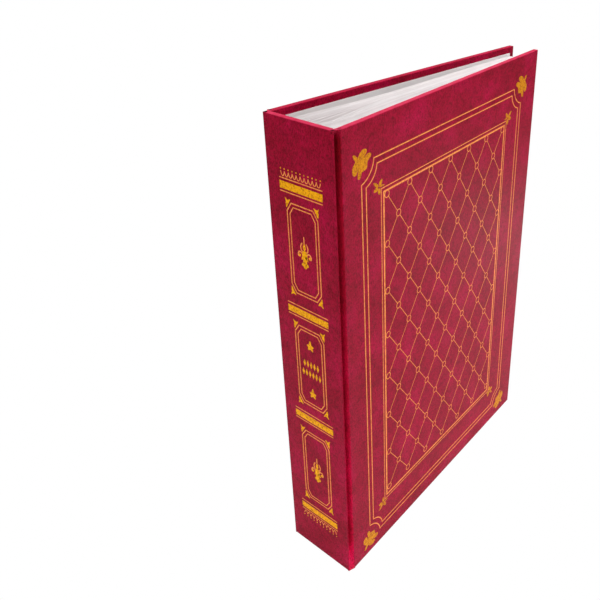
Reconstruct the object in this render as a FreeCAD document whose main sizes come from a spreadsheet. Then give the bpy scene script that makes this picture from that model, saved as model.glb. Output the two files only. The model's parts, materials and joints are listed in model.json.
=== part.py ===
"""Slip-in photo album in a case binding: two hinged covers, a flat spine and a fan of pocket leaves.

The album stands on its tail edges. +Z is up, the front cover faces -Y, the spine faces -X and
the fore edge points to +X. The origin is under the middle of the album, on the surface it stands on.
"""
import FreeCAD, Part
import math
import os
import Sketcher

V = FreeCAD.Vector
LEAF_COUNT = 30
POCKETS_PER_SIDE = 3
OVERCUT = "1"
TOUCH = 0.001

# Driving dimensions in millimetres
DIMENSIONS = {
    "cover_width": 236.5,
    "spine_width": 55.7,
    "board_thickness": 3.3,
    "covering_thickness": 0.35,
    "turn_in": 15.0,
    "groove_gap": 4.8,
    "groove_step": 1.3,
    "crease_radius": 0.8,
    "spine_bevel": 3.0,
    "edge_radius": 0.6,
    "pastedown_thickness": 0.15,
    "pastedown_margin": 4.7,
    "lining_thickness": 0.15,
    "lining_margin": 0.5,
    "glue_thickness": 1.2,
    "stub_length": 9.0,
    "stub_thickness": 1.1,
    "leaf_square": 6.8,
    "leaf_width": 220.5,
    "card_thickness": 0.25,
    "film_thickness": 0.1,
    "leaf_air": 0.12,
    "crease_clearance": 0.3,
    "cover_clearance": 0.4,
    "block_clearance": 1.5,
    "pocket_width": 155.0,
    "pocket_height": 103.0,
    "pocket_gap": 3.0,
    "pocket_margin": 4.0,
    "pocket_end": 2.7,
}

# The column of pockets sets the height of the leaves, and the leaves set the height of the album
ALBUM_HEIGHT = (f"={POCKETS_PER_SIDE} * pocket_height + {POCKETS_PER_SIDE - 1} * pocket_gap"
                " + 2 * (pocket_end + leaf_square)")

doc = FreeCAD.newDocument("photo_album")
sheet = doc.addObject("Spreadsheet::Sheet", "dims")
for row, (alias, value) in enumerate([*DIMENSIONS.items(), ("album_height", ALBUM_HEIGHT)], start=1):
    sheet.set(f"A{row}", str(value))
    sheet.setAlias(f"A{row}", alias)
doc.recompute()


def size(alias):
    """One driving dimension, as the sheet holds it."""
    return float(sheet.get(alias))


# A board with its covering on both faces, and a leaf with its films
WRAPPED = "(dims.board_thickness + 2 * dims.covering_thickness)"
LEAF = "(dims.card_thickness + 2 * dims.film_thickness)"
wrapped = size("board_thickness") + 2 * size("covering_thickness")
leaf_thickness = size("card_thickness") + 2 * size("film_thickness")

# Places along the album, measured from the outer face of the spine
glue_start = wrapped + size("lining_thickness")
stub_start = glue_start + size("glue_thickness")
crease = stub_start + size("stub_length") + size("crease_clearance")
leaf_end = crease + size("leaf_width")

# The covers close on the leaves, so the wedge angle follows from the stack at the fore edge
board_edge = size("groove_gap")
board_face = size("spine_width") / 2 + size("groove_step")
stack = LEAF_COUNT * leaf_thickness + (LEAF_COUNT - 1) * size("leaf_air")
fore_gap = stack / 2 + size("cover_clearance") + size("pastedown_thickness")
reach = leaf_end - board_edge
drop = board_face - fore_gap
wedge = math.acos(wrapped / math.hypot(drop, reach)) - math.atan2(reach, drop)

# The album is centred on the origin, measured to its rounded fore edge
rounding = size("edge_radius")
square_reach = (size("cover_width") - rounding) * math.cos(wedge)
spine_x = -(board_edge + square_reach + rounding * (1 - math.sin(wedge))) / 2

# Pitch of the leaves at their creases and at the fore edge
crease_gap = board_face - wrapped / math.cos(wedge) - (crease - board_edge) * math.tan(wedge)
crease_half = crease_gap - size("pastedown_thickness") - size("block_clearance") - leaf_thickness / 2
crease_pitch = 2 * crease_half / (LEAF_COUNT - 1)
fore_pitch = leaf_thickness + size("leaf_air")


def new_body(label):
    """An empty body that becomes one named piece."""
    body = doc.addObject("PartDesign::Body", label)
    body.Label = label
    return body


def block(body, kind, name, sizes, corner):
    """A box added to or taken from a body, with its sizes and low corner bound to the sheet."""
    feature = body.newObject(f"PartDesign::{kind}Box", name)
    for side, text in zip(("Length", "Width", "Height"), sizes):
        feature.setExpression(side, text)
    for axis, text in zip("xyz", corner):
        feature.setExpression(f"Placement.Base.{axis}", text)
    body.Tip = feature
    return feature


def origin_feature(body, role):
    """An origin plane or axis of a body."""
    return [feature for feature in body.Origin.OriginFeatures if feature.Role == role][0]


def dressed(body, kind, base, wanted, text):
    """Bevel or round those edges of a feature whose middle point is wanted, by a size bound to the sheet."""
    doc.recompute()
    feature = body.newObject(f"PartDesign::{kind}", f"{base.Name}_{kind.lower()}")
    edges = [f"Edge{number}" for number, edge in enumerate(base.Shape.Edges, start=1)
             if wanted(edge.CenterOfMass)]
    feature.Base = (base, edges)
    feature.setExpression("Size" if kind == "Chamfer" else "Radius", text)
    body.Tip = feature
    doc.recompute()
    return feature


def spine_pieces():
    """Bevelled spine board, its covering with turn-ins at head and tail, the lining and the glue."""
    low = "-dims.spine_width / 2 + dims.covering_thickness"
    span = "dims.spine_width - 2 * dims.covering_thickness"
    board_height = "dims.album_height - 2 * dims.covering_thickness"
    board_corner = ("dims.covering_thickness", low, "dims.covering_thickness")
    board_sizes = ("dims.board_thickness", span, board_height)

    def corners_at(face):
        """Picks the two upright edges on the face that looks at the leaves."""
        return lambda middle: abs(middle.x - face) < TOUCH and abs(middle.y) > TOUCH

    board = new_body("spine_board")
    blank = block(board, "Additive", "spine_board_blank", board_sizes, board_corner)
    dressed(board, "Chamfer", blank, corners_at(wrapped - size("covering_thickness")), "dims.spine_bevel")

    covering = new_body("spine_covering")
    wrap = block(covering, "Additive", "spine_wrap", (WRAPPED, span, "dims.album_height"), ("0", low, "0"))
    wrap_bevel = "dims.spine_bevel + dims.covering_thickness"
    wrap = dressed(covering, "Chamfer", wrap, corners_at(wrapped), wrap_bevel)
    dressed(covering, "Fillet", wrap, lambda middle: abs(middle.y) < TOUCH, "dims.edge_radius")
    block(covering, "Subtractive", "spine_board_void", board_sizes, board_corner)
    block(covering, "Subtractive", "spine_window",
          (WRAPPED, span, f"{board_height} - 2 * dims.turn_in"),
          ("dims.covering_thickness", low, "dims.covering_thickness + dims.turn_in"))

    lining_inset = "(dims.spine_bevel + dims.lining_margin)"
    lining = new_body("spine_lining")
    block(lining, "Additive", "spine_lining_strip",
          ("dims.lining_thickness", f"{span} - 2 * {lining_inset}",
           "dims.album_height - 2 * dims.pastedown_margin"),
          (WRAPPED, f"{low} + {lining_inset}", "dims.pastedown_margin"))

    stub_span = f"{crease_pitch * (LEAF_COUNT - 1)} + dims.stub_thickness"
    glue = new_body("binding_glue")
    block(glue, "Additive", "binding_glue_slab",
          ("dims.glue_thickness", stub_span, "dims.album_height - 2 * dims.leaf_square"),
          (f"{WRAPPED} + dims.lining_thickness", f"-({stub_span}) / 2", "dims.leaf_square"))

    pieces = [board, covering, lining, glue]
    for piece in pieces:
        piece.Placement = FreeCAD.Placement(V(spine_x, 0, 0), FreeCAD.Rotation())
    return pieces


def cover_pieces(side, placement):
    """A board, its covering with turn-ins on three edges, and the pastedown, in the cover's own frame.

    X runs from the groove to the fore edge, Y from the outer face inwards and Z up.
    """
    board_width = "dims.cover_width - dims.covering_thickness"
    board_height = "dims.album_height - 2 * dims.covering_thickness"

    board = new_body(f"{side}_board")
    block(board, "Additive", f"{side}_board_blank", (board_width, "dims.board_thickness", board_height),
          ("0", "dims.covering_thickness", "dims.covering_thickness"))

    covering = new_body(f"{side}_covering")
    wrap = block(covering, "Additive", f"{side}_wrap", ("dims.cover_width", WRAPPED, "dims.album_height"),
                 ("0", "0", "0"))
    dressed(covering, "Fillet", wrap, lambda middle: middle.x > TOUCH, "dims.edge_radius")
    block(covering, "Subtractive", f"{side}_board_void",
          (f"{board_width} + {OVERCUT}", "dims.board_thickness", board_height),
          (f"-{OVERCUT}", "dims.covering_thickness", "dims.covering_thickness"))
    block(covering, "Subtractive", f"{side}_window",
          (f"{board_width} - dims.turn_in + {OVERCUT}", WRAPPED, f"{board_height} - 2 * dims.turn_in"),
          (f"-{OVERCUT}", "dims.covering_thickness", "dims.covering_thickness + dims.turn_in"))

    pastedown = new_body(f"{side}_pastedown")
    block(pastedown, "Additive", f"{side}_pastedown_sheet",
          ("dims.cover_width - 2 * dims.pastedown_margin", "dims.pastedown_thickness",
           "dims.album_height - 2 * dims.pastedown_margin"),
          ("dims.pastedown_margin", WRAPPED, "dims.pastedown_margin"))

    pieces = [board, covering, pastedown]
    for piece in pieces:
        piece.Placement = placement
    return pieces


def crossing(start, direction, other_start, other_direction):
    """Where two lines in plan cross."""
    travel = (other_start - start).cross(other_direction).z / direction.cross(other_direction).z
    return start + direction * travel


def joint_outline():
    """Corners of the covering pressed into the groove, from the spine's edge round to the board's edge.

    The strip lies on the bevel of the spine board, folds at the bottom and comes out along the edge of the
    cover's board.
    """
    thickness = size("covering_thickness")
    spine_edge = -size("spine_width") / 2
    bevel = V(math.sqrt(0.5), math.sqrt(0.5), 0)
    bevel_start = V(wrapped - thickness - size("spine_bevel"), spine_edge + thickness, 0)
    outer_start = V(bevel_start.x + thickness * math.tan(math.pi / 8), spine_edge, 0)
    inwards = V(-math.sin(wedge), math.cos(wedge), 0)
    towards_spine = V(-math.cos(wedge), -math.sin(wedge), 0)
    lip = V(board_edge, -board_face, 0)
    outer_lip = lip + towards_spine * thickness
    fold = crossing(outer_start, bevel, outer_lip, inwards)
    back_fold = crossing(bevel_start, bevel, lip, inwards)
    board_corner = V(0, spine_edge + thickness, 0)
    outer_corner = V(0, spine_edge, 0)
    return [fold, outer_lip, lip, back_fold, bevel_start, board_corner, outer_corner, outer_start]


def joint_piece(side, placement):
    """The bending strip of covering in one groove, with a rounded fold."""
    body = new_body(f"{side}_joint")
    sketch = body.newObject("Sketcher::SketchObject", f"{side}_joint_outline")
    sketch.AttachmentSupport = [(origin_feature(body, "XY_Plane"), "")]
    sketch.MapMode = "FlatFace"
    corners = joint_outline()
    for index, corner in enumerate(corners):
        sketch.addGeometry(Part.LineSegment(corner, corners[(index + 1) % len(corners)]), False)
    for index in range(len(corners)):
        sketch.addConstraint(Sketcher.Constraint("Coincident", index, 2, (index + 1) % len(corners), 1))
    strip = body.newObject("PartDesign::Pad", f"{side}_joint_strip")
    strip.Profile = sketch
    strip.setExpression("Length", "dims.album_height")
    body.Tip = strip

    def stands_on(corner):
        """Picks the upright edge on a corner of the outline."""
        return lambda middle: math.hypot(middle.x - corner.x, middle.y - corner.y) < TOUCH

    fold, back_fold = corners[0], corners[3]
    folded = dressed(body, "Fillet", strip, stands_on(fold), "dims.crease_radius")
    dressed(body, "Fillet", folded, stands_on(back_fold), "dims.crease_radius + dims.covering_thickness")
    body.Placement = placement
    return body


def leaf_place(index):
    """Where a leaf starts at its crease, and the angle at which it runs to the fore edge."""
    step = index - (LEAF_COUNT - 1) / 2
    start = step * crease_pitch
    end = step * fore_pitch
    return start, math.atan2(end - start, size("leaf_width"))


def leaf_piece(index):
    """A card leaf with clear pockets welded on both sides, in its own frame with the crease on Z."""
    name = f"leaf_{index + 1:02d}"
    leaf_height = "dims.album_height - 2 * dims.leaf_square"
    body = new_body(name)
    block(body, "Additive", f"{name}_card",
          ("dims.leaf_width - dims.crease_clearance", "dims.card_thickness", leaf_height),
          ("dims.crease_clearance", "-dims.card_thickness / 2", "dims.leaf_square"))
    pocket = block(body, "Additive", f"{name}_pocket", ("dims.pocket_width", LEAF, "dims.pocket_height"),
                   ("dims.leaf_width - dims.pocket_margin - dims.pocket_width", f"-{LEAF} / 2",
                    "dims.leaf_square + dims.pocket_end"))
    doc.recompute()
    pockets = body.newObject("PartDesign::LinearPattern", f"{name}_pockets")
    pockets.Originals = [pocket]
    pockets.Direction = (origin_feature(body, "Z_Axis"), [""])
    pockets.setExpression("Length", f"{POCKETS_PER_SIDE - 1} * (dims.pocket_height + dims.pocket_gap)")
    pockets.Occurrences = POCKETS_PER_SIDE
    body.Tip = pockets
    start, angle = leaf_place(index)
    body.Placement = FreeCAD.Placement(V(spine_x + crease, start, 0),
                                       FreeCAD.Rotation(V(0, 0, 1), math.degrees(angle)))
    return body


def stub_pieces():
    """The bound edges of the leaves, thickened with spacers, as one group standing on the glue."""
    stubs = []
    for index in range(LEAF_COUNT):
        stub = doc.addObject("Part::Box", f"stub_{index + 1:02d}")
        stub.setExpression("Length", "dims.stub_length")
        stub.setExpression("Width", "dims.stub_thickness")
        stub.setExpression("Height", "dims.album_height - 2 * dims.leaf_square")
        start, _ = leaf_place(index)
        corner_y = start - size("stub_thickness") / 2
        stub.Placement.Base = V(spine_x + stub_start, corner_y, size("leaf_square"))
        stubs.append(stub)
    group = doc.addObject("Part::Compound", "leaf_stubs")
    group.Label = "leaf_stubs"
    group.Links = stubs
    return group


def turned_over(placement):
    """The same place on the other side of the album: a half turn about its long middle line."""
    middle = FreeCAD.Placement(V(0, 0, size("album_height")), FreeCAD.Rotation(V(1, 0, 0), 180))
    return middle.multiply(placement)


front_place = FreeCAD.Placement(V(spine_x + board_edge, -board_face, 0),
                                FreeCAD.Rotation(V(0, 0, 1), math.degrees(wedge)))
groove_place = FreeCAD.Placement(V(spine_x, 0, 0), FreeCAD.Rotation())

pieces = spine_pieces()
pieces += cover_pieces("front", front_place)
pieces += cover_pieces("back", turned_over(front_place))
pieces.append(joint_piece("front", groove_place))
pieces.append(joint_piece("back", turned_over(groove_place)))
pieces.append(stub_pieces())
pieces += [leaf_piece(index) for index in range(LEAF_COUNT)]
doc.recompute()

for thing in doc.Objects:
    if "Invalid" in thing.State or "Error" in thing.State:
        raise RuntimeError(f"{thing.Label} failed: {thing.State}")
for piece in pieces:
    if piece.Shape.isNull() or not piece.Shape.isValid():
        raise RuntimeError(f"{piece.Label} has no valid shape")

os.makedirs("parts", exist_ok=True)
for piece in pieces:
    piece.Shape.exportStep(f"parts/{piece.Label}.step")

# Hinge lines: a cover turns about the middle of its groove's mouth, a leaf about its crease
print(f"wedge {math.degrees(wedge):.4f} degrees")
hinge_x = spine_x + board_edge / 2
hinge_y = (size("spine_width") / 2 + board_face) / 2
print(f"hinge front_cover {hinge_x:.4f} {-hinge_y:.4f}")
print(f"hinge back_cover {hinge_x:.4f} {hinge_y:.4f}")
for index in range(LEAF_COUNT):
    start, angle = leaf_place(index)
    print(f"hinge leaf_{index + 1:02d} {spine_x + crease:.4f} {start:.4f} {math.degrees(angle):.4f}")
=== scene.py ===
"""Looks of the photo album: crimson case binding with gold tooling, deep joints and white pocket leaves."""

import json
import math

import bpy
from mathutils import Matrix, Vector


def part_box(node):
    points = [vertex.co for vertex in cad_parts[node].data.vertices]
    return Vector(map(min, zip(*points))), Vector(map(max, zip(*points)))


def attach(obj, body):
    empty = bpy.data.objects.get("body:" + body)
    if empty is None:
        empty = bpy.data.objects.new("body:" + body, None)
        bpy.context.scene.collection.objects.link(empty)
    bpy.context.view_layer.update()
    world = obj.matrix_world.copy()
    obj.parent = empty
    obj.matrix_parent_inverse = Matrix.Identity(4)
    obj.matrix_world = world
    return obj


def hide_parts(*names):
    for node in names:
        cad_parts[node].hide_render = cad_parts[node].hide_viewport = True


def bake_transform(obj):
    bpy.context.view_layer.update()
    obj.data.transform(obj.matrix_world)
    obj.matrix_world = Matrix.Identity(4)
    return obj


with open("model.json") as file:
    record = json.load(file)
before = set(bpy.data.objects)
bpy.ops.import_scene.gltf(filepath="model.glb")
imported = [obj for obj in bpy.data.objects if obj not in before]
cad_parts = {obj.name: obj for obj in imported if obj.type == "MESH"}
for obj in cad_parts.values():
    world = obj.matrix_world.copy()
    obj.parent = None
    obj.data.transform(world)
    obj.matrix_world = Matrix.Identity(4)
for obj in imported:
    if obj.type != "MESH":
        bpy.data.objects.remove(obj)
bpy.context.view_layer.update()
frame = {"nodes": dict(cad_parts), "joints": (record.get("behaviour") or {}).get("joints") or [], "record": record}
nodes = frame["nodes"]
MM = 0.001

# Album sizes in millimetres, as the construction has them
HEIGHT = 334.0
SPINE_WIDTH = 55.7
GROOVE_GAP = 4.8
GROOVE_STEP = 1.3
WRAPPED = 4.0  # a board with its covering
SPINE_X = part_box("spine_covering")[0].x / MM
hinges = {joint["child"]: joint for joint in frame["joints"]}


def slope_of(node):
    """Angle in plan between a thin upright node and the X axis, from the node's own corners."""
    low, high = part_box(node)
    corners = [vertex.co for vertex in nodes[node].data.vertices]
    near = [corner.y for corner in corners if corner.x < low.x + MM]
    far = [corner.y for corner in corners if corner.x > high.x - MM]
    rise = sum(far) / len(far) - sum(near) / len(near)
    return math.atan2(rise, high.x - low.x)


WEDGE = slope_of("front_pastedown")
LEAF_COUNT = sum(1 for name in nodes if name.startswith("leaf_") and name != "leaf_stubs")


# Places on the front cover and on the spine, from millimetres to the row frame

def front_point(u, v, lift):
    """u runs from the groove to the fore edge, v down from the head, lift out of the cover's face."""
    along = Vector((math.cos(WEDGE), math.sin(WEDGE), 0))
    out = Vector((math.sin(WEDGE), -math.cos(WEDGE), 0))
    corner = Vector((SPINE_X + GROOVE_GAP, -SPINE_WIDTH / 2 - GROOVE_STEP, HEIGHT))
    return (corner + along * u + out * lift - Vector((0, 0, v))) * MM


def spine_point(s, v, lift):
    """s runs from the back edge of the spine to its front edge, v down from the head."""
    return Vector((SPINE_X - lift, SPINE_WIDTH / 2 - s, HEIGHT - v)) * MM


# Materials

def material(name, build):
    """A node material; build wires a texture into the shader's sockets."""
    made = bpy.data.materials.new(name)
    made.use_nodes = True
    tree = made.node_tree
    shader = tree.nodes["Principled BSDF"]
    build(tree, shader)
    return made


def noise(tree, scale, detail, roughness, stretch=(1, 1, 1)):
    """Noise over the piece's own coordinates."""
    coordinates = tree.nodes.new("ShaderNodeTexCoord")
    mapping = tree.nodes.new("ShaderNodeMapping")
    mapping.inputs["Scale"].default_value = stretch
    texture = tree.nodes.new("ShaderNodeTexNoise")
    texture.inputs["Scale"].default_value = scale
    texture.inputs["Detail"].default_value = detail
    texture.inputs["Roughness"].default_value = roughness
    tree.links.new(coordinates.outputs["Object"], mapping.inputs["Vector"])
    tree.links.new(mapping.outputs["Vector"], texture.inputs["Vector"])
    return texture.outputs["Fac"]


def ramp(tree, factor, stops):
    """Colours along a factor."""
    node = tree.nodes.new("ShaderNodeValToRGB")
    elements = node.color_ramp.elements
    while len(elements) < len(stops):
        elements.new(0.5)
    for element, (place, colour) in zip(elements, stops):
        element.position = place
        element.color = (*colour, 1)
    tree.links.new(factor, node.inputs["Fac"])
    return node.outputs["Color"]


def mixed(tree, kind, share, first, second):
    """Two colours mixed by a share, which is a number or a socket."""
    node = tree.nodes.new("ShaderNodeMix")
    node.data_type = "RGBA"
    node.blend_type = kind
    if isinstance(share, bpy.types.NodeSocket):
        tree.links.new(share, node.inputs["Factor"])
    else:
        node.inputs["Factor"].default_value = share
    tree.links.new(first, node.inputs[6])
    tree.links.new(second, node.inputs[7])
    return node.outputs[2]


def bump(tree, shader, height, strength, distance):
    """Small relief from a factor."""
    node = tree.nodes.new("ShaderNodeBump")
    node.inputs["Strength"].default_value = strength
    node.inputs["Distance"].default_value = distance
    tree.links.new(height, node.inputs["Height"])
    tree.links.new(node.outputs["Normal"], shader.inputs["Normal"])


def srgb(red, green, blue):
    """A colour as a picture shows it, from 0 to 255, in linear light."""
    def linear(value):
        share = value / 255
        return share / 12.92 if share <= 0.04045 else ((share + 0.055) / 1.055) ** 2.4
    return (linear(red), linear(green), linear(blue))


# Relief of the covering's grain: share and depth in metres
GRAIN_STRENGTH, GRAIN_DEPTH = 0.2, 0.0001
# How far a face has to look up before the painted pink highlight on it starts, and where it is full
HIGHLIGHT_FROM, HIGHLIGHT_FULLY = 0.25, 0.8


def covering_colour(tree, wear_and_highlight):
    """Mottled crimson with a fine dark grain, and a painted pink highlight on faces that look up; the second
    argument is that highlight's share.
    """
    cloud = noise(tree, 36, 4, 0.6)
    mottle = noise(tree, 210, 5, 0.7)
    grain = noise(tree, 1150, 4, 0.8, (1, 1, 0.6))
    base = ramp(tree, cloud, ((0.3, srgb(133, 2, 32)), (0.5, srgb(145, 3, 40)), (0.7, srgb(162, 4, 54))))
    spots = ramp(tree, mottle, ((0.34, (0.5, 0.4, 0.45)), (0.52, (1, 1, 1)), (0.7, (1.2, 1.3, 1.3))))
    specks = ramp(tree, grain, ((0.38, (0.42, 0.3, 0.38)), (0.5, (1, 1, 1)), (0.62, (1.4, 1.6, 1.6))))
    # Painted highlight: a pinker crimson for faces that look up, as if lit from above
    top_highlight = ramp(tree, mottle, ((0.3, srgb(158, 24, 54)), (0.7, srgb(184, 46, 78))))
    mottled = mixed(tree, "MULTIPLY", 0.45, base, spots)
    grained = mixed(tree, "MULTIPLY", 0.8, mottled, specks)
    facing = tree.nodes.new("ShaderNodeNewGeometry")
    upward = tree.nodes.new("ShaderNodeSeparateXYZ")
    tree.links.new(facing.outputs["Normal"], upward.inputs["Vector"])
    # Mask of the painted highlight: how far the face looks up
    edge = tree.nodes.new("ShaderNodeMapRange")
    edge.inputs["From Min"].default_value = HIGHLIGHT_FROM
    edge.inputs["From Max"].default_value = HIGHLIGHT_FULLY
    edge.inputs["To Max"].default_value = wear_and_highlight
    tree.links.new(upward.outputs["Z"], edge.inputs["Value"])
    return mixed(tree, "MIX", edge.outputs["Result"], grained, top_highlight), grain


def covering_look(wear_and_highlight):
    """Coated covering paper with a faint sheen."""
    def build(tree, shader):
        colour, grain = covering_colour(tree, wear_and_highlight)
        tree.links.new(colour, shader.inputs["Base Color"])
        shader.inputs["Roughness"].default_value = 0.5
        shader.inputs["Specular IOR Level"].default_value = 0.045
        bump(tree, shader, grain, GRAIN_STRENGTH, GRAIN_DEPTH)
    return build


def groove_look(tree, shader):
    """The covering where it is pressed into a joint, with painted shade by height: darkest just below the head,
    lighter down to the tail, where it is painted brighter than the plain covering.
    """
    colour, grain = covering_colour(tree, 1)
    coordinates = tree.nodes.new("ShaderNodeTexCoord")
    height = tree.nodes.new("ShaderNodeSeparateXYZ")
    tree.links.new(coordinates.outputs["Object"], height.inputs["Vector"])
    # Painted shade and light by height in metres: bright near the tail, darkest just below the head, plain on the
    # head
    shade = ramp(tree, height.outputs["Z"], ((0, (1.8, 1.5, 1.8)), (0.3, (1.05, 0.3, 0.6)),
                                             (0.328, (0.85, 0.2, 0.4)), (0.333, (1, 1, 1))))
    tree.links.new(mixed(tree, "MULTIPLY", 1, colour, shade), shader.inputs["Base Color"])
    shader.inputs["Roughness"].default_value = 0.7
    shader.inputs["Specular IOR Level"].default_value = 0.1
    bump(tree, shader, grain, GRAIN_STRENGTH, GRAIN_DEPTH)


def gold_look(dark, middle, light):
    """Matt gold foil, worn by the grain under it."""
    def build(tree, shader):
        wear_and_highlight = noise(tree, 700, 5, 0.8)
        colour = ramp(tree, wear_and_highlight, ((0.34, srgb(*dark)), (0.5, srgb(*middle)), (0.68, srgb(*light))))
        tree.links.new(colour, shader.inputs["Base Color"])
        shader.inputs["Metallic"].default_value = 0.12
        shader.inputs["Roughness"].default_value = 0.5
        shader.inputs["Specular IOR Level"].default_value = 0.05
    return build


def paper_look(tree, shader):
    """White lining paper, painted a little greyer than the leaves' card as shade for the pastedown that shows
    behind the leaves.
    """
    tone = noise(tree, 60, 3, 0.5)
    colour = ramp(tree, tone, ((0.3, srgb(224, 219, 218)), (0.7, srgb(234, 230, 229))))
    tree.links.new(colour, shader.inputs["Base Color"])
    shader.inputs["Roughness"].default_value = 0.7


def leaf_look(tree, shader):
    """White card, a little different in tone from leaf to leaf."""
    leaf = tree.nodes.new("ShaderNodeObjectInfo")
    tone = noise(tree, 60, 3, 0.5)
    whole = ramp(tree, leaf.outputs["Random"], ((0.1, srgb(236, 230, 230)), (0.9, srgb(246, 242, 242))))
    fine = ramp(tree, tone, ((0.3, (0.94, 0.94, 0.94)), (0.7, (1, 1, 1))))
    tree.links.new(mixed(tree, "MULTIPLY", 1, whole, fine), shader.inputs["Base Color"])
    shader.inputs["Roughness"].default_value = 0.7


def film_look(tree, shader):
    """Pocket film over white card, which shows as one bluish, glossy surface."""
    tone = noise(tree, 35, 3, 0.5)
    colour = ramp(tree, tone, ((0.3, srgb(214, 219, 226)), (0.7, srgb(226, 230, 236))))
    tree.links.new(colour, shader.inputs["Base Color"])
    shader.inputs["Roughness"].default_value = 0.16
    shader.inputs["Coat Weight"].default_value = 0.5


def board_look(tree, shader):
    """Grey binder's board."""
    tone = noise(tree, 300, 4, 0.7)
    colour = ramp(tree, tone, ((0.3, srgb(140, 134, 124)), (0.7, srgb(172, 166, 156))))
    tree.links.new(colour, shader.inputs["Base Color"])
    shader.inputs["Roughness"].default_value = 0.9


def glue_look(tree, shader):
    """Set hot-melt glue."""
    tone = noise(tree, 90, 3, 0.5)
    colour = ramp(tree, tone, ((0.3, srgb(222, 214, 190)), (0.7, srgb(236, 230, 210))))
    tree.links.new(colour, shader.inputs["Base Color"])
    shader.inputs["Roughness"].default_value = 0.4


# The front's faces that look up get the full painted pink highlight, the back cover's less of it
covering = material("covering", covering_look(1))
back_covering = material("back_covering", covering_look(0.3))
groove = material("groove_painted_shade", groove_look)
front_gold = material("front_gold", gold_look((122, 54, 6), (200, 124, 2), (218, 150, 8)))
spine_gold = material("spine_gold", gold_look((140, 72, 4), (232, 158, 3), (248, 184, 10)))
gold_line = material("gold_line", gold_look((190, 92, 44), (234, 138, 70), (246, 162, 88)))
paper = material("white_paper", paper_look)
leaf_card = material("leaf_card", leaf_look)
film = material("pocket_film", film_look)
board = material("binders_board", board_look)
glue = material("binding_glue", glue_look)
# The leaves themselves are replaced below, so white paper for leaf_card shows on their stubs only
looks = {"board": board, "covering": covering, "lining_paper": paper, "glue": glue, "leaf_card": paper}
for part in frame["record"]["subparts"]:
    mesh = nodes[part["node"]].data
    mesh.materials.clear()
    mesh.materials.append(looks[part["material_slot"]])
nodes["back_covering"].data.materials[0] = back_covering


# Meshes

def mesh_object(name, vertices, faces, looks_of, smooth=False):
    """A mesh object from points in metres; each face names its look by number."""
    data = bpy.data.meshes.new(name)
    data.from_pydata(vertices, [], [face for face, _ in faces])
    for look in looks_of:
        data.materials.append(look)
    for polygon, (_, look) in zip(data.polygons, faces):
        polygon.material_index = look
        polygon.use_smooth = smooth
    made = bpy.data.objects.new(name, data)
    bpy.context.scene.collection.objects.link(made)
    return made


# Joints: the covering goes down the bevel of the spine, folds and comes up along the board

JOINT_ROWS = (0, 0.4, 1.2, 2.4, 4.0, 6.0, 9.0, 14.0, 22.0, 30.0, 60.0, 167.0)
JOINT_LAYER = 0.35
JOINT_PROUD = 0.03
JOINT_ROUNDING = 0.4
BEVEL_DEPTH = 5.0
MOUTH_SHARE = 0.62
ON_SPINE, ON_COVER = 0.9, 0.7
TURN_IN_FILL, TURN_IN_HEIGHT = 2.2, 4
HEAD_PRESS, HEAD_EASE, TAIL_EASE = 0.2, 4.5, 28
# Steps of the plan line at either end that are not part of the groove's walls
WALL_START, WALL_END = 10, 6
# Two places on each joint, which joint() returns and nothing uses: distance from the spine's face, and out from
# the spine's edge
BEND_START, BEND_END = (2.2, 0.05), (4.6, 0.75)


def rounded(corners, radius, steps=6):
    """A plan line with its inner corners rounded, each over less than half of its two sides."""
    part = 0.49
    points = [corners[0]]
    for before, corner, after in zip(corners, corners[1:], corners[2:]):
        into, out = (corner - before).normalized(), (after - corner).normalized()
        bend = into.angle(out)
        reach = min(radius * math.tan(bend / 2), (corner - before).length * part,
                    (after - corner).length * part)
        for step in range(steps + 1):
            share = step / steps
            first = corner - into * reach * (1 - share)
            second = corner + out * reach * share
            points.append(first.lerp(second, share))
    return points + [corners[-1]]


def eased(share):
    """A share from 0 to 1 that starts and ends gently."""
    share = min(1, max(0, share))
    return share * share * (3 - 2 * share)


def joint_depth(row):
    """How far the covering is pressed in: at once below the head, slowly above the tail."""
    below_head = HEAD_PRESS + (1 - HEAD_PRESS) * eased(row / HEAD_EASE)
    return min(below_head, eased((HEIGHT - row) / TAIL_EASE))


def joint_line(pressed):
    """The covering's outer face in plan, from the spine's face to the cover's face, for the front joint."""
    edge = -SPINE_WIDTH / 2
    lip = Vector((GROOVE_GAP, edge - GROOVE_STEP))
    along = Vector((math.cos(WEDGE), math.sin(WEDGE)))
    inwards = Vector((-math.sin(WEDGE), math.cos(WEDGE)))
    deep = lip - along * JOINT_LAYER + inwards * BEVEL_DEPTH
    bevel = Vector((deep.x - (deep.y - edge), edge))
    mouth = bevel.lerp(lip, MOUTH_SHARE)
    bottom = mouth.lerp(deep, pressed)
    corners = [Vector((0, edge + ON_SPINE)), Vector((0, edge)), bevel, bottom, lip - along * JOINT_LAYER,
               lip + along * ON_COVER]
    return rounded(corners, JOINT_ROUNDING)


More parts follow.
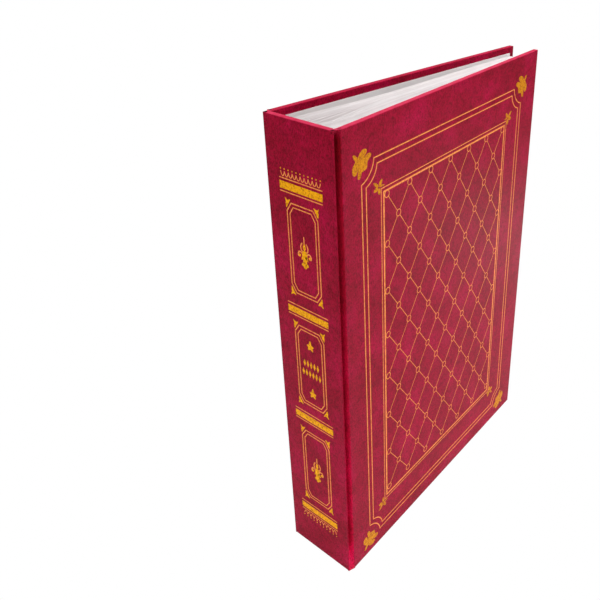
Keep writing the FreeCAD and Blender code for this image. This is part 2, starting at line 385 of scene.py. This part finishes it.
def joint(name, side):
    """One joint as a strip, with two places along it; side is -1 at the front and 1 at the back."""
    rows = list(JOINT_ROWS) + [HEIGHT - row for row in reversed(JOINT_ROWS[:-1])]
    vertices, faces = [], []
    for row in rows:
        line = joint_line(joint_depth(row))
        thickness = JOINT_LAYER + TURN_IN_FILL * max(0, 1 - min(row, HEIGHT - row) / TURN_IN_HEIGHT)
        for depth in (-JOINT_PROUD, thickness):
            for index, point in enumerate(line):
                ahead = line[min(index + 1, len(line) - 1)] - line[max(index - 1, 0)]
                place = point + Vector((-ahead.y, ahead.x)).normalized() * depth
                vertices.append(Vector((SPINE_X + place.x, -side * place.y, HEIGHT - row)) * MM)
    count = len(joint_line(1))
    for row in range(len(rows) - 1):
        for layer in (0, 1):
            for index in range(count - 1):
                corner = (row * 2 + layer) * count + index
                quad = (corner, corner + 1, corner + 1 + 2 * count, corner + 2 * count)
                # The groove's walls take the look with painted shade, the faces on the spine and the cover the
                # plain covering
                wall = 1 if WALL_START <= index <= count - WALL_END else 0
                faces.append((quad if (layer == 0) == (side < 0) else quad[::-1], wall))
    for row in (0, len(rows) - 1):
        for index in range(count - 1):
            corner = row * 2 * count + index
            faces.append(((corner, corner + 1, corner + 1 + count, corner + count), 0))
    made = mesh_object(name, vertices, faces, [covering, groove], True)
    for polygon in made.data.polygons[-2 * (count - 1):]:
        polygon.use_smooth = False
    start, end = (Vector((SPINE_X + along, side * (SPINE_WIDTH / 2 + out), HEIGHT / 2)) * MM
                  for along, out in (BEND_START, BEND_END))
    return made, start, end


# Inside each cover, lining paper hides the bare board between the pastedown and the joint

PAPER = 0.15
PAPER_INSET, PAPER_CLEARANCE = 0.3, 0.05
PAPER_SIDES = ((0, 2, 6, 4), (1, 5, 7, 3), (0, 1, 3, 2), (4, 6, 7, 5), (0, 4, 5, 1), (2, 3, 7, 6))


def hinge_paper(name, side):
    """A flat strip along the cover's spine edge, level with the pastedown."""
    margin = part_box("front_pastedown")[0].z / MM
    vertices = []
    for u in (PAPER_INSET, margin - PAPER_CLEARANCE):
        for v in (margin, HEIGHT - margin):
            for lift in (-WRAPPED, -WRAPPED - PAPER):
                point = front_point(u, v, lift)
                vertices.append(Vector((point.x, -side * point.y, point.z)))
    faces = [(face if side < 0 else face[::-1], 0) for face in PAPER_SIDES]
    return mesh_object(name, vertices, faces, [paper])


for side_name, side in (("front", -1), ("back", 1)):
    lining = hinge_paper(f"{side_name}_hinge_paper", side)
    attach(lining, f"{side_name}_cover")
    strip, start, end = joint(f"{side_name}_joint_strip", side)
    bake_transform(strip)
    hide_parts(f"{side_name}_joint")


# Gold tooling: flat foil shapes, drawn in millimetres on the front cover and on the spine

def circle(middle, radius, steps):
    """Points on a circle."""
    return [middle + Vector((math.cos(turn), math.sin(turn))) * radius
            for turn in (2 * math.pi * step / steps for step in range(steps))]


FOIL_LIFT, FOIL_DEPTH = 0.05, 0.05
# Shapes are spread over thin layers, so that most that overlap do not share a plane
LAYERS, LAYER_STEP = 7, 0.004
LEAST_STRETCH = 0.4
PETAL_SKEW = 0.8


class Foil:
    """Foil shapes on one face, gathered into one piece."""

    def __init__(self, place):
        self.place = place
        self.vertices = []
        self.faces = []

    def shape(self, outline, middle=None, look=0):
        """A filled outline that its own middle can see, with a thin edge down to the covering."""
        lift = FOIL_LIFT + LAYER_STEP * (len(self.faces) % LAYERS)
        middle = middle or sum(outline, Vector((0, 0))) / len(outline)
        first = len(self.vertices)
        self.vertices.append(self.place(middle.x, middle.y, lift))
        for point in outline:
            self.vertices.append(self.place(point.x, point.y, lift))
            self.vertices.append(self.place(point.x, point.y, -FOIL_DEPTH))
        count = len(outline)
        for index in range(count):
            here = first + 1 + 2 * index
            there = first + 1 + 2 * ((index + 1) % count)
            self.faces.append(((first, here, there), look))
            self.faces.append(((here, here + 1, there + 1, there), look))

    def line(self, points, width, closed=False):
        """A line of even width with mitred corners."""
        count = len(points)
        sides = []
        for index, point in enumerate(points):
            before = points[index - 1] if closed or index else None
            after = points[(index + 1) % count] if closed or index < count - 1 else None
            into = (point - before).normalized() if before is not None else (after - point).normalized()
            out = (after - point).normalized() if after is not None else into
            normal = Vector((-(into.y + out.y), into.x + out.x)).normalized()
            stretch = max(LEAST_STRETCH, normal.dot(Vector((-into.y, into.x))))
            sides.append((point + normal * (width / 2 / stretch), point - normal * (width / 2 / stretch)))
        for index in range(count if closed else count - 1):
            first, second = sides[index], sides[(index + 1) % count]
            self.shape([first[0], second[0], second[1], first[1]], look=1)

    def disc(self, middle, radius, steps=14):
        """A filled circle."""
        self.shape(circle(middle, radius, steps))

    def ring(self, middle, radius, width, steps=18):
        """A line round a circle."""
        self.line(circle(middle, radius, steps), width, True)

    def petal(self, base, tip, width, taper=0.75, steps=9):
        """A leaf shape, widest a little nearer its base; the less the taper, the rounder its ends."""
        length = tip - base
        across = Vector((-length.y, length.x)).normalized() * width / 2
        shares = [step / steps for step in range(steps + 1)]
        belly = [math.sin(math.pi * share ** PETAL_SKEW) ** taper for share in shares]
        upper = [base + length * share + across * wide for share, wide in zip(shares, belly)]
        lower = [base + length * share - across * wide for share, wide in zip(shares, belly)]
        self.shape(upper + lower[-2:0:-1])

    def leaf(self, points, middle, steps=5):
        """A filled shape whose outline runs smoothly through the given points."""
        outline = []
        for index, point in enumerate(points):
            before, after = points[index - 1], points[(index + 1) % len(points)]
            beyond = points[(index + 2) % len(points)]
            for step in range(steps):
                t = step / steps
                outline.append(0.5 * (2 * point + (after - before) * t
                                      + (2 * before - 5 * point + 4 * after - beyond) * t * t
                                      + (3 * point - before - 3 * after + beyond) * t * t * t))
        self.shape(outline, middle)

    def piece(self, name, body, filling):
        """All shapes as one mesh that moves with a body."""
        made = mesh_object(name, self.vertices, self.faces, [filling, gold_line])
        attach(made, body)


# The printing on the cover is turned by half a degree
PRINT_TURN = 0.00855
PRINT_MIDDLE = Vector((114.0, 168.0))
# How far outside a frame's corner the middle of its scoop lies
SCOOP_OUT = (3.6, 2.2)


def printed_point(u, v, lift):
    """A place on the front cover, turned with the printing."""
    u, v = u + PRINT_TURN * (v - PRINT_MIDDLE.y), v - PRINT_TURN * (u - PRINT_MIDDLE.x)
    return front_point(u, v, lift)


def box_corners(left, top, right, bottom):
    """A box's four corners, in order round it."""
    return [Vector((left, top)), Vector((right, top)), Vector((right, bottom)), Vector((left, bottom))]


def scooped_frame(left, top, right, bottom, radius, steps=8):
    """A frame whose corners are scooped out by flat arcs."""
    points = []
    for index, corner in enumerate(box_corners(left, top, right, bottom)):
        flip = Vector((1 if index in (0, 3) else -1, 1 if index < 2 else -1))
        ends = (math.asin(SCOOP_OUT[1] / radius), math.acos(SCOOP_OUT[0] / radius))
        arc = []
        for step in range(steps + 1):
            turn = ends[1] + (ends[0] - ends[1]) * step / steps
            place = Vector((math.cos(turn), math.sin(turn))) * radius - Vector(SCOOP_OUT)
            arc.append(corner + place * flip)
        points += arc if index in (0, 2) else arc[::-1]
    return points


# Outline of the leaf outside each scoop, and petals of the small flower at the inner frame's corners
CORNER_LEAF = (
    (-7.2, -6.8), (-5.4, -6.7), (-2.8, -4.6), (-0.8, -6.8), (2.6, -8.1), (5.4, -7.0), (4.6, -4.9),
    (2.2, -3.0), (6.2, -4.4), (9.0, -3.8), (9.0, -2.0), (6.4, -0.3), (5.6, 1.2), (5.2, 4.0),
    (2.8, 4.9), (0.4, 5.4), (-0.6, 7.9), (-2.2, 8.8), (-3.4, 7.6), (-2.8, 4.2), (-2.3, 1.4),
    (-4.2, 5.0), (-6.6, 5.4), (-8.0, 3.2), (-7.6, 0.0), (-6.0, -1.6), (-5.3, -3.0), (-6.6, -5.0),
)
LEAF_HEART = (-0.5, -0.5)
ROUND_TAPER = 0.5
SMALL_LOBES = (
    ((-2.6, -2.1), (-7.4, -6.0), 2.1), ((-1.7, -2.3), (1.0, -6.2), 2.5), ((-2.2, -2.0), (3.4, -1.7), 1.1),
    ((-2.9, -1.5), (-7.4, -0.2), 2.7), ((-1.9, -1.0), (-2.0, 3.3), 2.6),
)


def lobes(foil, middle, shapes, flip):
    """A group of round petals about a point, mirrored into its corner."""
    for base, tip, width in shapes:
        foil.petal(middle + Vector(base) * flip, middle + Vector(tip) * flip, width, ROUND_TAPER)


def inset_box(box, step_u, step_v):
    """A box made smaller on each side."""
    left, top, right, bottom = box
    return left + step_u, top + step_v, right - step_u, bottom - step_v


front_foil = Foil(printed_point)

# Frames as left, top, right and bottom: two scooped ones, then a thin and a thick plain one
OUTER = (17.8, 23.8, 214.3, 320.3)
OUTER_STEP, OUTER_LINE = 4.15, 0.8
OUTER_SCOOP, SECOND_SCOOP = 15.7, 14.5
INNER = (36.4, 45.4, 192.6, 296.4)
INNER_STEP_U, INNER_STEP_V = 2.6, 2.8
THIN_LINE, THICK_LINE = 0.6, 1.25
front_foil.line(scooped_frame(*OUTER, OUTER_SCOOP), OUTER_LINE, True)
front_foil.line(scooped_frame(*inset_box(OUTER, OUTER_STEP, OUTER_STEP), SECOND_SCOOP), OUTER_LINE, True)
front_foil.line(box_corners(*INNER), THIN_LINE, True)
front_foil.line(box_corners(*inset_box(INNER, INNER_STEP_U, INNER_STEP_V)), THICK_LINE, True)

# Lattice: rings in staggered rows, joined by slanting lines
RING, RING_LINE, LATTICE_LINE = 2.3, 0.55, 0.42
COLUMN, ROW = 24.2, 16.94
# Rings joined by a line lie half a column apart across the rows
NEIGHBOUR = 0.6 * COLUMN
ROWS, LONG_ROW = 15, 7
LATTICE_MIDDLE = Vector((114.8, 169.3))
ring_rows = []
for row in range(ROWS):
    count = LONG_ROW - row % 2
    ring_rows.append([LATTICE_MIDDLE + Vector(((column - (count - 1) / 2) * COLUMN, (row - ROWS // 2) * ROW))
                      for column in range(count)])
for points in ring_rows:
    for point in points:
        front_foil.ring(point, RING, RING_LINE)
for upper, lower in zip(ring_rows, ring_rows[1:]):
    for first in upper:
        for second in lower:
            gap = second - first
            if abs(gap.x) < NEIGHBOUR:
                inset = gap.normalized() * RING
                front_foil.line([first + inset, second - inset], LATTICE_LINE)
for flip_u, u, small_u in ((1, OUTER[0], INNER[0]), (-1, OUTER[2], INNER[2])):
    for flip_v, v, small_v in ((1, OUTER[1], INNER[1]), (-1, OUTER[3], INNER[3])):
        flip = Vector((flip_u, flip_v))
        corner = Vector((u, v))
        front_foil.leaf([corner + Vector(point) * flip for point in CORNER_LEAF],
                        corner + Vector(LEAF_HEART) * flip)
        lobes(front_foil, Vector((small_u, small_v)), SMALL_LOBES, flip)
front_foil.piece("front_tooling", "front_cover", front_gold)


# Spine tooling

spine_foil = Foil(spine_point)
BAND_LEFT, BAND_RIGHT = 10.3, 45.7
PANEL_LEFT, PANEL_RIGHT = 15.3, 41.0
MID = 28.3
BAND_ABOVE, BAND_BELOW, BAND_LINE = 2.0, 1.6, 0.7
FRINGE_LEFT, FRINGE_RIGHT, FRINGE_LINE = 1.6, 1.2, 0.6
SCALLOP_FOOT, SCALLOP_HEIGHT, SCALLOP_CURVE = 1.1, 2.9, 2.4
BEAD_HEIGHT, BEAD = 5.5, 0.5


def band(top, low):
    """A thick gold band between two thin lines."""
    spine_foil.shape(box_corners(BAND_LEFT, top, BAND_RIGHT, low))
    for v in (top - BAND_ABOVE, low + BAND_BELOW):
        spine_foil.line([Vector((BAND_LEFT, v)), Vector((BAND_RIGHT, v))], BAND_LINE)


def fringe(edge, direction, count=10, steps=10):
    """A row of scallops with a bead over each join, standing on an edge."""
    left, right = BAND_LEFT + FRINGE_LEFT, BAND_RIGHT - FRINGE_RIGHT
    pitch = (right - left) / count
    for index in range(count):
        arc = []
        for share in (step / steps for step in range(steps + 1)):
            height = SCALLOP_FOOT + SCALLOP_HEIGHT * abs(2 * share - 1) ** SCALLOP_CURVE
            arc.append(Vector((left + index * pitch + pitch * share, edge + direction * height)))
        spine_foil.line(arc, FRINGE_LINE)
    for index in range(count + 1):
        spine_foil.disc(Vector((left + index * pitch, edge + direction * BEAD_HEIGHT)), BEAD, 8)


def chamfered(inset, top, low, cut_s, cut_v):
    """A panel's outline with cut corners."""
    left, top, right, low = inset_box((PANEL_LEFT, top, PANEL_RIGHT, low), inset, inset)
    return [Vector(point) for point in (
        (left + cut_s, top), (right - cut_s, top), (right, top + cut_v), (right, low - cut_v),
        (right - cut_s, low), (left + cut_s, low), (left, low - cut_v), (left, top + cut_v))]


# Panels: cuts along the spine's width and height, width of line, and the outline of the tulip at each cut
OUTER_CUT, OUTER_PANEL_LINE = (3.8, 5.6), 0.75
PANEL_STEP, INNER_CUT, INNER_PANEL_LINE = 2.35, (3.0, 4.6), 0.7
TULIP = ((-1.3, -2.7), (0.8, -1.5), (3.0, -2.2), (2.3, -0.4), (1.2, 1.2), (-0.3, 3.6), (-0.8, 1.2),
         (-0.6, -0.5))
TULIP_HEART = (0.5, -0.2)


def panel(top, low):
    """A panel of two lines with cut corners and a small tulip outside each cut."""
    spine_foil.line(chamfered(0, top, low, *OUTER_CUT), OUTER_PANEL_LINE, True)
    spine_foil.line(chamfered(PANEL_STEP, top, low, *INNER_CUT), INNER_PANEL_LINE, True)
    for flip_s, s in ((1, PANEL_LEFT), (-1, PANEL_RIGHT)):
        for flip_v, v in ((1, top), (-1, low)):
            flip, corner = Vector((flip_s, flip_v)), Vector((s, v))
            spine_foil.leaf([corner + Vector(point) * flip for point in TULIP],
                            corner + Vector(TULIP_HEART) * flip)


# The fleuron's arm and curl on one side, and the star's points with their widths
ARM = ((1.5, -6.4), (2.4, -5.6), (3.1, -3.8), (2.9, -2.0), (1.8, -0.6))
CURL = ((1.6, 1.2), (3.0, -0.1), (4.6, 0.0), (5.5, 1.4), (5.4, 2.8), (4.2, 3.2))
STAR = (((0, -4.6), 2.1), ((3.1, -0.4), 2.4), ((-3.1, -0.4), 2.4), ((2.4, 3.2), 2.4), ((-2.1, 3.2), 2.4))
STAR_ASIDE, STAR_OVERLAP = 0.1, 0.3


def fleuron(v):
    """A spike and a bud between two looped arms, with side curls and a three-lobed foot."""
    middle = Vector((MID, v))
    spine_foil.line([middle + Vector((0, -10.9)), middle + Vector((0, -5.4))], 0.8)
    spine_foil.petal(middle + Vector((0, -1.6)), middle + Vector((0, -6.2)), 2.4)
    spine_foil.petal(middle + Vector((0, -1.8)), middle + Vector((0, 5.4)), 4.4, 0.6)
    spine_foil.petal(middle + Vector((0, 3.6)), middle + Vector((0, 9.6)), 3.2, 0.5)
    spine_foil.disc(middle + Vector((0, 9.6)), 1.2)
    for flip in (-1, 1):
        side = Vector((flip, 1))
        spine_foil.line([middle + Vector(point) * side for point in ARM], 0.9)
        spine_foil.line([middle + Vector(point) * side for point in CURL], 1.0)
        spine_foil.disc(middle + Vector((4.3, 2.4)) * side, 1.0)
        spine_foil.petal(middle + Vector((0.6, 2.2)) * side, middle + Vector((2.9, 5.2)) * side, 1.8)
        spine_foil.disc(middle + Vector((1.7, 8.2)) * side, 1.2)


def star(v):
    """A small five-pointed flower with a longer point at the top."""
    middle = Vector((MID + STAR_ASIDE, v))
    for tip, width in STAR:
        spine_foil.petal(middle - Vector(tip) * STAR_OVERLAP, middle + Vector(tip), width)


LOZENGE = ((0, -2.9), (1.05, 0), (0, 2.9), (-1.05, 0))
LOZENGE_PITCH = 3.0


def lozenges(v, count):
    """A row of narrow lozenges where the title would be."""
    for index in range(count):
        middle = Vector((MID + (index - (count - 1) / 2) * LOZENGE_PITCH, v))
        spine_foil.shape([middle + Vector(point) for point in LOZENGE])


# Heights on the spine, down from the head
for top, low in ((39.1, 43.9), (124.0, 128.6), (208.4, 213.1), (294.2, 299.1)):
    band(top, low)
fringe(36.8, -1)
fringe(301.2, 1)
for top, low in ((51.8, 112.8), (136.8, 198.4), (222.9, 285.0)):
    panel(top, low)
fleuron(82.0)
fleuron(254.2)
star(149.5)
star(187.4)
lozenges(164.2, 5)
lozenges(171.6, 6)
spine_foil.piece("spine_tooling", "spine", spine_gold)


# Leaves: thin cards that lean together, with three clear pockets on each side

CARD = 0.25
FILM_LIFT = 0.1
POCKET, POCKETS = (155.0, 103.0), 3
POCKET_GAP, POCKET_MARGIN, POCKET_END = 3.0, 4.0, 2.7
STATIONS, CROWDING = 28, 1.25
TUCK = 0.6
BEND_BEFORE, BEND_AFTER = 0.4, 3.5
# Distance from leaf to leaf beside the spine and at the fore edge
STUB_PITCH, EDGE_PITCH = 1.557, 0.57
# The leaves that lean to the front cover, how much they close up, and shares of the length where they do
FRONT_GROUP, FRONT_LEAN = 17, 0.22
LEAN_BY, LEAN_UNTIL = 0.12, 0.48
# How far the last leaf bows off the back cover, and the shares of the length where it bows and comes back
BACK_GAP = 3.6
BOW_BY, BOW_END, BOW_RETURN = 0.3, 0.9, 0.55
RIPPLE, RIPPLE_STEP, RIPPLE_RUN = 0.12, 2.4, 5
# Sag of the heads behind the front group: depth, number of leaves, and where it ends along the leaf
DIP, DIP_LEAVES = 10.0, 3.2
DIP_END, DIP_RUN = 0.3, 0.28


def leaf_sway(index, share, pitch):
    """How far a leaf leans from its straight line: the first to the front cover, the last off the back."""
    if index < FRONT_GROUP:
        lean = FRONT_LEAN * pitch * index * eased(share / LEAN_BY) * max(0, 1 - share / LEAN_UNTIL) ** 2
    else:
        rank = (index - FRONT_GROUP + 1) / (LEAF_COUNT - FRONT_GROUP)
        lean = BACK_GAP * rank * eased(share / BOW_BY) * eased((BOW_END - share) / BOW_RETURN)
    wave = math.sin(RIPPLE_STEP * index + RIPPLE_RUN * share)
    return RIPPLE * wave * math.sin(math.pi * share) - lean


def leaf_dip(index, share):
    """How far a leaf's head sags beside the spine, where the front leaves part from the rest."""
    behind = index - FRONT_GROUP
    if behind < 0:
        return 0
    return DIP * math.exp(-(behind / DIP_LEAVES) ** 2) * eased((DIP_END - share) / DIP_RUN)


def leaf_sheet(name, index):
    """One leaf with its pockets, from its stub to the fore edge."""
    low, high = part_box(name)
    crease = Vector(hinges[name]["pos_m"]) / MM
    angle = slope_of(name)
    along = Vector((math.cos(angle), math.sin(angle)))
    length = (high.x - low.x) / MM / math.cos(angle)
    bottom, top = low.z / MM, high.z / MM
    column = length - POCKET_MARGIN - POCKET[0]
    places = sorted({0.0, *(length * (step / STATIONS) ** CROWDING for step in range(STATIONS + 1)), column,
                     length - POCKET_MARGIN})
    line = []
    for place in places:
        share = place / length
        pitch = STUB_PITCH - (STUB_PITCH - EDGE_PITCH) * share
        sway = leaf_sway(index, share, pitch)
        line.append(Vector((crease.x + along.x * place, crease.y + along.y * place + sway)))
    line[0] = Vector((crease.x - TUCK, crease.y))
    normals = []
    for step in range(len(line)):
        ahead = line[min(step + 1, len(line) - 1)] - line[max(step - 1, 0)]
        normals.append(Vector((-ahead.y, ahead.x)).normalized())
    vertices, faces = [], []
    for point, normal, spot in zip(line, normals, places):
        for z in (bottom, top - leaf_dip(index, spot / length)):
            for side in (-1, 1):
                place = point + normal * side * CARD / 2
                vertices.append(Vector((place.x, place.y, z)) * MM)
    for step in range(len(line) - 1):
        a, b = 4 * step, 4 * step + 4
        faces += [((a, b, b + 2, a + 2), 0), ((a + 1, a + 3, b + 3, b + 1), 0),
                  ((a + 2, b + 2, b + 3, a + 3), 0), ((a, a + 1, b + 1, b), 0)]
    last = 4 * (len(line) - 1)
    faces.append(((last, last + 1, last + 3, last + 2), 0))
    inside = [step for step, place in enumerate(places) if column <= place <= length - POCKET_MARGIN]
    for side in (-1, 1):
        for pocket in range(POCKETS):
            foot = bottom + POCKET_END + pocket * (POCKET[1] + POCKET_GAP)
            first = len(vertices)
            for step in inside:
                for z in (foot, foot + POCKET[1]):
                    for lift in (0, FILM_LIFT):
                        place = line[step] + normals[step] * side * (CARD / 2 + lift)
                        vertices.append(Vector((place.x, place.y, z)) * MM)
            for step in range(len(inside) - 1):
                a, b = first + 4 * step, first + 4 * step + 4
                faces += [((a + 1, b + 1, b + 3, a + 3), 1), ((a, b, b + 1, a + 1), 1),
                          ((a + 2, a + 3, b + 3, b + 2), 1)]
            end = first + 4 * (len(inside) - 1)
            faces += [((first, first + 1, first + 3, first + 2), 1), ((end, end + 2, end + 3, end + 1), 1)]
    sheet = mesh_object(f"{name}_sheet", vertices, faces, [leaf_card, film])
    end = Vector((crease.x + BEND_AFTER * along.x, crease.y + BEND_AFTER * along.y, HEIGHT / 2)) * MM
    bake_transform(sheet)
    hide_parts(name)


for number in range(LEAF_COUNT):
    leaf_sheet(f"leaf_{number + 1:02d}", number)


# Camera, as it was found from the album's edges in the photo: millimetres, degrees and pixels

CAMERA_AT = (-386.78, -290.09, 457.40)
AZIMUTH, ELEVATION, ROLL = -49.13, 26.285, -0.463
FOCAL_PIXELS, CENTRE_X, CENTRE_Y, PICTURE = 738.0, 379.2, 234.4, 600
SENSOR = 36
CLIP_START, CLIP_END = 0.01, 20

azimuth, elevation = math.radians(AZIMUTH), math.radians(ELEVATION)
back = Vector((math.sin(azimuth) * math.cos(elevation), -math.cos(azimuth) * math.cos(elevation),
               math.sin(elevation)))
lens = bpy.data.cameras.new("camera")
lens.sensor_width = SENSOR
lens.lens = FOCAL_PIXELS / PICTURE * SENSOR
lens.shift_x = (PICTURE / 2 - CENTRE_X) / PICTURE
lens.shift_y = (CENTRE_Y - PICTURE / 2) / PICTURE
lens.clip_start = CLIP_START
lens.clip_end = CLIP_END
camera = bpy.data.objects.new("camera", lens)
turn = (-back).to_track_quat("-Z", "Y").to_matrix() @ Matrix.Rotation(math.radians(ROLL), 3, "Z")
camera.matrix_world = Matrix.Translation(Vector(CAMERA_AT) * MM) @ turn.to_4x4()
bpy.context.scene.collection.objects.link(camera)
bpy.context.scene.camera = camera


# White floor and soft light

# The glow painted into the floor round the album, a pool of light for all rays but the camera's: where it starts
# to fade and where it ends, in metres, and its strength
POOL_NEAR, POOL_FAR, POOL_GLOW = 0.2, 1.0, 0.45
FLOOR_SIZE = 8
SKY_STRENGTH = 0.38
WHITE = (1, 1, 1, 1)


def white_to_camera(tree, unseen, white, output):
    """The camera sees a white shader, and all other rays meet the unseen one."""
    path = tree.nodes.new("ShaderNodeLightPath")
    choice = tree.nodes.new("ShaderNodeMixShader")
    tree.links.new(path.outputs["Is Camera Ray"], choice.inputs["Fac"])
    tree.links.new(unseen, choice.inputs[1])
    tree.links.new(white, choice.inputs[2])
    tree.links.new(choice.outputs["Shader"], output.inputs["Surface"])


def floor_look(tree, shader):
    """A pale surface with a painted glow round the album, an emission that stands in for a pool of light."""
    tone = noise(tree, 4, 2, 0.5)
    pale = ramp(tree, tone, ((0, (0.8, 0.8, 0.8)), (1, (0.84, 0.84, 0.84))))
    tree.links.new(pale, shader.inputs["Base Color"])
    shader.inputs["Roughness"].default_value = 0.9
    shader.inputs["Emission Color"].default_value = WHITE
    coordinates = tree.nodes.new("ShaderNodeTexCoord")
    distance = tree.nodes.new("ShaderNodeVectorMath")
    distance.operation = "LENGTH"
    pool = tree.nodes.new("ShaderNodeMapRange")
    pool.inputs["From Min"].default_value = POOL_NEAR
    pool.inputs["From Max"].default_value = POOL_FAR
    pool.inputs["To Min"].default_value = POOL_GLOW
    pool.inputs["To Max"].default_value = 0
    tree.links.new(coordinates.outputs["Object"], distance.inputs["Vector"])
    tree.links.new(distance.outputs["Value"], pool.inputs["Value"])
    tree.links.new(pool.outputs["Result"], shader.inputs["Emission Strength"])
    white = tree.nodes.new("ShaderNodeEmission")
    white_to_camera(tree, shader.outputs["BSDF"], white.outputs["Emission"], tree.nodes["Material Output"])


bpy.ops.mesh.primitive_plane_add(size=FLOOR_SIZE)
floor = bpy.context.object
floor.name = "floor"
floor.data.materials.append(material("floor", floor_look))

world = bpy.data.worlds.new("studio")
bpy.context.scene.world = world
world.use_nodes = True
sky_tree = world.node_tree
sky = sky_tree.nodes["Background"]
sky.inputs["Color"].default_value = WHITE
sky.inputs["Strength"].default_value = SKY_STRENGTH
white_sky = sky_tree.nodes.new("ShaderNodeBackground")
white_sky.inputs["Color"].default_value = WHITE
white_to_camera(sky_tree, sky.outputs["Background"], white_sky.outputs["Background"],
                sky_tree.nodes["World Output"])


def softbox(name, place, target, size, power):
    """A square area light that looks at a point."""
    data = bpy.data.lights.new(name, "AREA")
    data.size = size
    data.energy = power
    lamp = bpy.data.objects.new(name, data)
    lamp.location = place
    lamp.rotation_mode = "QUATERNION"
    lamp.rotation_quaternion = (Vector(target) - Vector(place)).to_track_quat("-Z", "Y")
    bpy.context.scene.collection.objects.link(lamp)


# Place, target and size in metres, power in watts; the low light makes the sheen at the cover's fore edge
MIDDLE = (0, 0, 0.17)
softbox("key", (-0.1, -1.1, 0.12), (0.1, 0, 0.14), 0.5, 2.4)
softbox("top", (0.15, -0.15, 1.3), MIDDLE, 0.8, 17.2)
softbox("side", (-1.7, -0.3, 0.9), MIDDLE, 1.0, 8.5)
softbox("low", (0.36, -0.16, 0.03), (0.1, 0, 0.13), 0.15, 0.28)
bpy.context.scene.view_settings.view_transform = "Standard"
